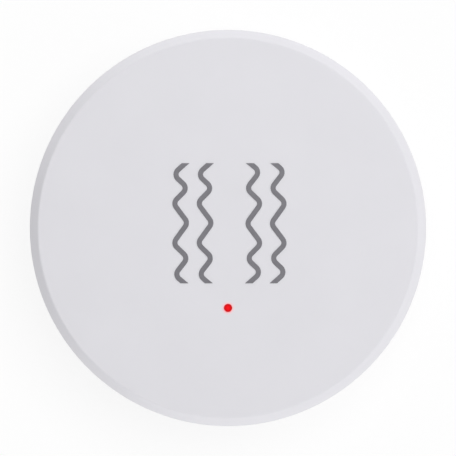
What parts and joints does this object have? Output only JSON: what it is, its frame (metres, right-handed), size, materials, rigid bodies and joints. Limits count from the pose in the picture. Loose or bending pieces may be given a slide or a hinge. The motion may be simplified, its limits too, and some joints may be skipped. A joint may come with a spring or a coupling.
{
  "type": "vibration sensor tag",
  "caption": "Round stick-on vibration sensor with a bevelled white face, printed zigzag waves and a red status light; the housing twists off an adhesive back plate.",
  "frame": {"origin": "centre of the adhesive pad's underside, on the wall or table that the tag sticks to", "axes": "+Z out of the front face, +Y to the top of the printed waves, +X to the reset button's side"},
  "size_m": [0.05, 0.05, 0.0146],
  "materials": {
    "white_shell": "satin moulded plastic",
    "grey_ink": "printed ink",
    "red_lens": "clear red, lit from behind",
    "pad_foam": "closed-cell adhesive foam",
    "gasket_foam": "closed-cell foam",
    "board_green": "solder mask on glass laminate",
    "module_blue": "solder mask on glass laminate",
    "steel": "plated steel",
    "cell_steel": "nickel-plated sheet",
    "gold_plate": "gold-plated",
    "tube_brass": "drawn brass",
    "dark_plastic": "moulded, matte",
    "plug_plastic": "moulded, matte",
    "plunger_plastic": "moulded",
    "seal_plastic": "moulded ring",
    "cell_powder": "pressed powder",
    "resistor_ceramic": "chip body with tinned ends",
    "capacitor_ceramic": "chip body with tinned ends",
    "lamp_resin": "clear resin on a white base"
  },
  "bodies": {
    "base": {"back_plate": "white_shell", "adhesive_pad": "pad_foam"},
    "seal": {"foam_gasket": "gasket_foam"},
    "housing": {"front_cover": "white_shell", "wave_print": "grey_ink", "light_pipe": "red_lens", "circuit_board": "board_green", "radio_board": "module_blue", "board_screws": "steel", "radio_shield": "steel", "radio_crystal": "steel", "switch_frame": "steel", "regulator_legs": "steel", "coin_cell_can": "cell_steel", "coin_cell_cap": "cell_steel", "radio_antenna": "gold_plate", "positive_contact": "gold_plate", "negative_contact": "gold_plate", "vibration_pin": "gold_plate", "vibration_lead": "gold_plate", "vibration_tube": "tube_brass", "radio_chip": "dark_plastic", "switch_body": "dark_plastic", "regulator_body": "dark_plastic", "cell_holder": "dark_plastic", "vibration_plugs": "plug_plastic", "coin_cell_seal": "seal_plastic", "coin_cell_core": "cell_powder", "chip_resistors": "resistor_ceramic", "chip_capacitors": "capacitor_ceramic", "status_lamp": "lamp_resin"},
    "reset_button": {"reset_button": "white_shell"},
    "switch_plunger": {"switch_plunger": "plunger_plastic"},
    "vibration_spring": {"vibration_spring": "gold_plate"}
  },
  "joints": [
    {"name": "housing_lift", "type": "slide", "parent": "base", "child": "seal", "axis": [0, 0, 1], "range_m": [0, 0.009]},
    {"name": "housing_twist", "type": "hinge", "parent": "seal", "child": "housing", "pos_m": [0, 0, 0], "axis": [0, 0, 1], "range_deg": [0, 180]},
    {"name": "reset_press", "type": "slide", "parent": "housing", "child": "reset_button", "axis": [-1, 0, 0], "range_m": [0, 0.0003], "stiffness_N_per_m": 2000},
    {"name": "plunger_press", "type": "slide", "parent": "housing", "child": "switch_plunger", "axis": [-1, 0, 0], "range_m": [0, 0.0003]},
    {"name": "spring_sway", "type": "hinge", "parent": "housing", "child": "vibration_spring", "pos_m": [-0.014, -0.0079, 0.0106], "axis": [0, 0, 1], "range_deg": [-3, 3], "stiffness_Nm_per_rad": 0.00002}
  ],
  "couplings": [
    {"joint": "housing_lift", "follows": "housing_twist", "m_per_rad": 0.0028647},
    {"joint": "plunger_press", "follows": "reset_press", "ratio": 1}
  ]
}
